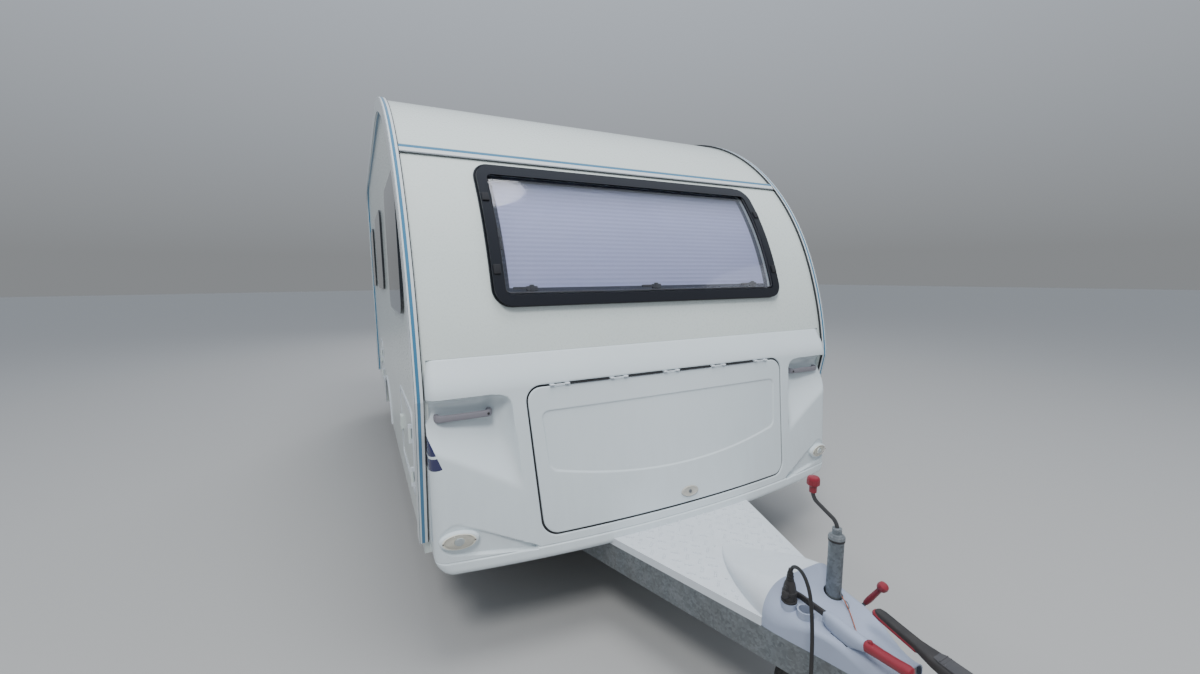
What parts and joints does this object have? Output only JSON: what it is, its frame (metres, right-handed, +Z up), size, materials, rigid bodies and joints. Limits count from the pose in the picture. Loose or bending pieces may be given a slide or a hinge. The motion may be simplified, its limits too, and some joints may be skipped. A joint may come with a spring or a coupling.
{
  "type": "travel caravan",
  "caption": "Towed travel caravan on a pair of wheels, with a curved front, gas locker lid, drawbar, jockey wheel, hinged doors and fold-down corner steadies.",
  "frame": {"origin": "on the ground below the middle of the overall length and width", "axes": "+X to the entrance door's side, -Y to the hitch, +Z up"},
  "size_m": [2.24, 5.9, 2.5901],
  "materials": {
    "panel_white": "semi-gloss",
    "moulding_white": "gloss",
    "rail_blue": "satin",
    "window_black": "gloss",
    "window_pane": "gloss",
    "window_tinted": "gloss",
    "blind_cloth": "matte",
    "galvanised": "mottled",
    "black_plastic": "matte",
    "grey_plastic": "satin",
    "pale_plastic": "satin",
    "blue_grey_plastic": "satin",
    "red_plastic": "gloss",
    "lamp_lens": "gloss",
    "tail_lens": "gloss",
    "wheel_silver": "satin",
    "cast_grey": "matte",
    "tyre_rubber": "matte",
    "floor_board": "matte",
    "cable_black": "matte",
    "cable_orange": "satin"
  },
  "bodies": {
    "root": {"arch_trims": "pale_plastic", "axle": "galvanised", "body_hinges": "pale_plastic", "brake_rod": "galvanised", "breakaway_cable": "cable_orange", "chassis_rails": "galvanised", "coupling_fairing": "blue_grey_plastic", "coupling_head": "cast_grey", "cross_members": "galvanised", "door_frames": "pale_plastic", "drawbar_cover": "pale_plastic", "drawbar_legs": "galvanised", "edge_rails": "rail_blue", "floor_panel": "floor_board", "front_panel": "moulding_white", "front_strip": "rail_blue", "front_wall": "panel_white", "front_window_blind": "blind_cloth", "front_window_frame": "window_black", "front_window_pane": "window_pane", "grab_handles": "grey_plastic", "handbrake_lever": "red_plastic", "jockey_clamp": "cast_grey", "jockey_crank": "galvanised", "jockey_tube": "galvanised", "lead_cable": "cable_black", "lead_plug": "black_plastic", "locker_bulkhead": "floor_board", "marker_lamps": "lamp_lens", "overrun_gear": "galvanised", "rear_bumper": "moulding_white", "rear_wall": "panel_white", "rear_window": "window_tinted", "roof_lights": "pale_plastic", "roof_panel": "panel_white", "side_wall_left": "panel_white", "side_wall_right": "panel_white", "side_windows": "window_tinted", "stabiliser_handle": "black_plastic", "tail_lamps": "tail_lens", "wheel_boxes": "black_plastic"},
    "wheel_left": {"tyre_left": "tyre_rubber", "rim_left": "wheel_silver"},
    "wheel_right": {"tyre_right": "tyre_rubber", "rim_right": "wheel_silver"},
    "jockey_inner": {"jockey_mast": "galvanised"},
    "jockey_fork": {"jockey_fork": "galvanised"},
    "jockey_wheel": {"jockey_wheel": "black_plastic"},
    "locker_lid": {"locker_lid": "moulding_white"},
    "entrance_door": {"entrance_door": "panel_white", "door_window": "window_tinted"},
    "locker_door": {"locker_door": "panel_white"},
    "cassette_door": {"cassette_door": "panel_white"},
    "steady_front_left": {"steady_leg_front_left": "galvanised"},
    "steady_front_right": {"steady_leg_front_right": "galvanised"},
    "steady_rear_left": {"steady_leg_rear_left": "galvanised"},
    "steady_rear_right": {"steady_leg_rear_right": "galvanised"}
  },
  "joints": [
    {"name": "wheel_left_turn", "type": "hinge", "parent": "root", "child": "wheel_left", "pos_m": [0.95, 1.095, 0.307], "axis": [1, 0, 0], "continuous": true},
    {"name": "wheel_right_turn", "type": "hinge", "parent": "root", "child": "wheel_right", "pos_m": [-0.95, 1.095, 0.307], "axis": [1, 0, 0], "continuous": true},
    {"name": "jockey_slide", "type": "slide", "parent": "root", "child": "jockey_inner", "axis": [0, 0, 1], "range_m": [-0.16, 0.02]},
    {"name": "jockey_swivel", "type": "hinge", "parent": "jockey_inner", "child": "jockey_fork", "pos_m": [0.07, -2.278, 0.262], "axis": [0, 0, 1], "continuous": true},
    {"name": "jockey_roll", "type": "hinge", "parent": "jockey_fork", "child": "jockey_wheel", "pos_m": [0.02851, -2.23192, 0.11], "axis": [0.7431, 0.6691, 0], "continuous": true},
    {"name": "locker_lid_lift", "type": "hinge", "parent": "root", "child": "locker_lid", "pos_m": [0, -1.4485, 1.0985], "axis": [-1, 0, 0], "range_deg": [0, 80]},
    {"name": "entrance_door_swing", "type": "hinge", "parent": "root", "child": "entrance_door", "pos_m": [1.1125, 0.01, 1.4], "axis": [0, 0, -1], "range_deg": [0, 165]},
    {"name": "locker_door_swing", "type": "hinge", "parent": "root", "child": "locker_door", "pos_m": [-1.1125, -1.03, 0.75], "axis": [0, 0, 1], "range_deg": [0, 120]},
    {"name": "cassette_door_swing", "type": "hinge", "parent": "root", "child": "cassette_door", "pos_m": [-1.1125, 1.605, 0.745], "axis": [0, 0, 1], "range_deg": [0, 120]},
    {"name": "steady_front_left_lower", "type": "hinge", "parent": "root", "child": "steady_front_left", "pos_m": [0.85, -0.56, 0.448], "axis": [1, 0, 0], "range_deg": [0, 46]},
    {"name": "steady_front_right_lower", "type": "hinge", "parent": "root", "child": "steady_front_right", "pos_m": [-0.85, -0.56, 0.448], "axis": [1, 0, 0], "range_deg": [0, 46]},
    {"name": "steady_rear_left_lower", "type": "hinge", "parent": "root", "child": "steady_rear_left", "pos_m": [0.85, 1.85, 0.448], "axis": [-1, 0, 0], "range_deg": [0, 46]},
    {"name": "steady_rear_right_lower", "type": "hinge", "parent": "root", "child": "steady_rear_right", "pos_m": [-0.85, 1.85, 0.448], "axis": [-1, 0, 0], "range_deg": [0, 46]}
  ]
}
